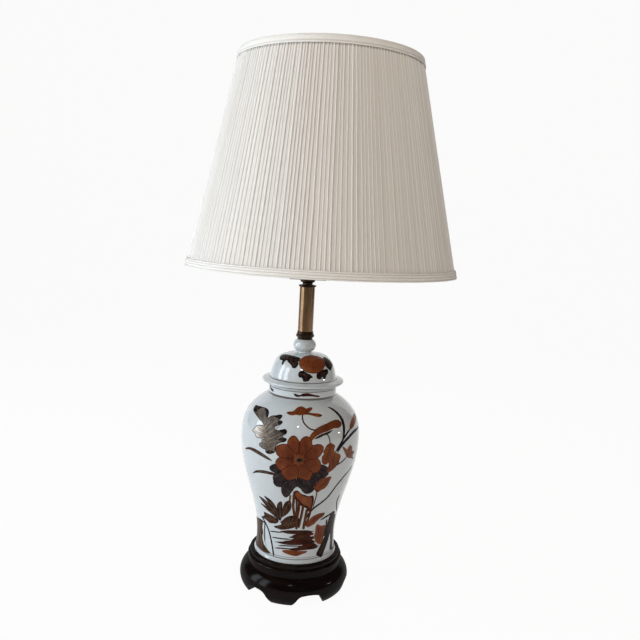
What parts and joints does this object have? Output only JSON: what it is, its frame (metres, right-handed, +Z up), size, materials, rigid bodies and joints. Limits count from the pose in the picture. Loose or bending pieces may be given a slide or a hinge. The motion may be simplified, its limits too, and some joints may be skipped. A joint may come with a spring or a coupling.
{
  "type": "table lamp",
  "caption": "Table lamp: covered porcelain jar painted with flowers on a carved wooden stand, brass neck, socket and bulb, wire harp, and a pleated empire shade.",
  "frame": {"origin": "on the floor under the middle of the shade, which is the middle of the lamp's box; the jar's and the pipe's axis stands 20.9 mm to the -X side of it", "axes": "+Z up along the jar's axis; -Y is the side that the picture shows; +X is to the right in the picture"},
  "size_m": [0.4571, 0.4572, 0.9122],
  "materials": {
    "rosewood": "satin",
    "black_plastic": "gloss",
    "zinc_steel": "satin",
    "glazed_porcelain": "gloss",
    "dark_bronze": "satin",
    "antique_brass": "satin",
    "bright_brass": "satin",
    "card": "matte",
    "aluminium": "satin",
    "frosted_glass": "frosted",
    "black_glass": "gloss",
    "stem_glass": "gloss",
    "styrene": "matte",
    "pleated_cloth": "matte",
    "trim_cloth": "matte",
    "white_wire": "satin"
  },
  "bodies": {
    "base": {"stand": "rosewood", "stand_deck": "rosewood", "cord_bushing": "black_plastic", "lamp_pipe": "zinc_steel", "pipe_washer": "zinc_steel", "lock_washer": "zinc_steel", "pipe_nut": "zinc_steel", "jar": "glazed_porcelain", "lid": "glazed_porcelain", "lid_ball": "glazed_porcelain", "base_ring": "dark_bronze", "neck_tube": "antique_brass", "check_ring": "dark_bronze", "neck_cup": "dark_bronze", "harp_saddle": "bright_brass", "socket_cap": "bright_brass", "cap_set_screw": "zinc_steel", "socket_shell": "bright_brass", "socket_liner": "card", "terminal_screw_left": "bright_brass", "terminal_screw_right": "zinc_steel", "socket_block": "black_plastic", "screw_shell": "aluminium", "centre_contact": "bright_brass"},
    "harp": {"harp": "bright_brass", "harp_stud": "bright_brass"},
    "ferrule_left": {"harp_ferrule_left": "bright_brass"},
    "ferrule_right": {"harp_ferrule_right": "bright_brass"},
    "shade": {"shade_lining": "styrene", "shade_cover": "pleated_cloth", "shade_bottom_trim": "trim_cloth", "shade_top_trim": "trim_cloth", "shade_bottom_ring": "white_wire", "shade_top_ring": "white_wire", "shade_arm_1": "bright_brass", "shade_arm_2": "bright_brass", "shade_arm_3": "bright_brass", "shade_hub": "bright_brass"},
    "finial_rise": {"finial_washer": "bright_brass"},
    "finial": {"finial": "bright_brass"},
    "switch": {"switch_shaft": "bright_brass", "switch_knob": "black_plastic"},
    "bulb_rise": {"bulb_tip": "black_glass"},
    "bulb": {"bulb_glass": "frosted_glass", "bulb_base": "aluminium", "bulb_stem": "stem_glass"}
  },
  "joints": [
    {"name": "harp_lift", "type": "slide", "parent": "base", "child": "harp", "axis": [0, 0, 1], "range_m": [0, 0.02]},
    {"name": "ferrule_left_lift", "type": "slide", "parent": "harp", "child": "ferrule_left", "axis": [0, 0, 1], "range_m": [0, 0.014]},
    {"name": "ferrule_right_lift", "type": "slide", "parent": "harp", "child": "ferrule_right", "axis": [0, 0, 1], "range_m": [0, 0.014]},
    {"name": "shade_turn", "type": "hinge", "parent": "harp", "child": "shade", "pos_m": [0, 0, 0.8752], "axis": [0, 0, 1], "continuous": true},
    {"name": "finial_rise", "type": "slide", "parent": "harp", "child": "finial_rise", "axis": [0, 0, 1], "range_m": [0, 0.011]},
    {"name": "finial_turn", "type": "hinge", "parent": "finial_rise", "child": "finial", "pos_m": [0, 0, 0.8812], "axis": [0, 0, 1], "range_deg": [0, 4210]},
    {"name": "switch_turn", "type": "hinge", "parent": "base", "child": "switch", "pos_m": [-0.0209, -0.02, 0.572], "axis": [0, -1, 0], "continuous": true},
    {"name": "bulb_rise", "type": "slide", "parent": "base", "child": "bulb_rise", "axis": [0, 0, 1], "range_m": [0, 0.022]},
    {"name": "bulb_turn", "type": "hinge", "parent": "bulb_rise", "child": "bulb", "pos_m": [-0.0209, 0, 0.6], "axis": [0, 0, 1], "range_deg": [0, 2182]}
  ],
  "couplings": [
    {"joint": "finial_turn", "follows": "finial_rise", "rad_per_m": 6679},
    {"joint": "bulb_rise", "follows": "bulb_turn", "m_per_rad": 0.00057751}
  ]
}
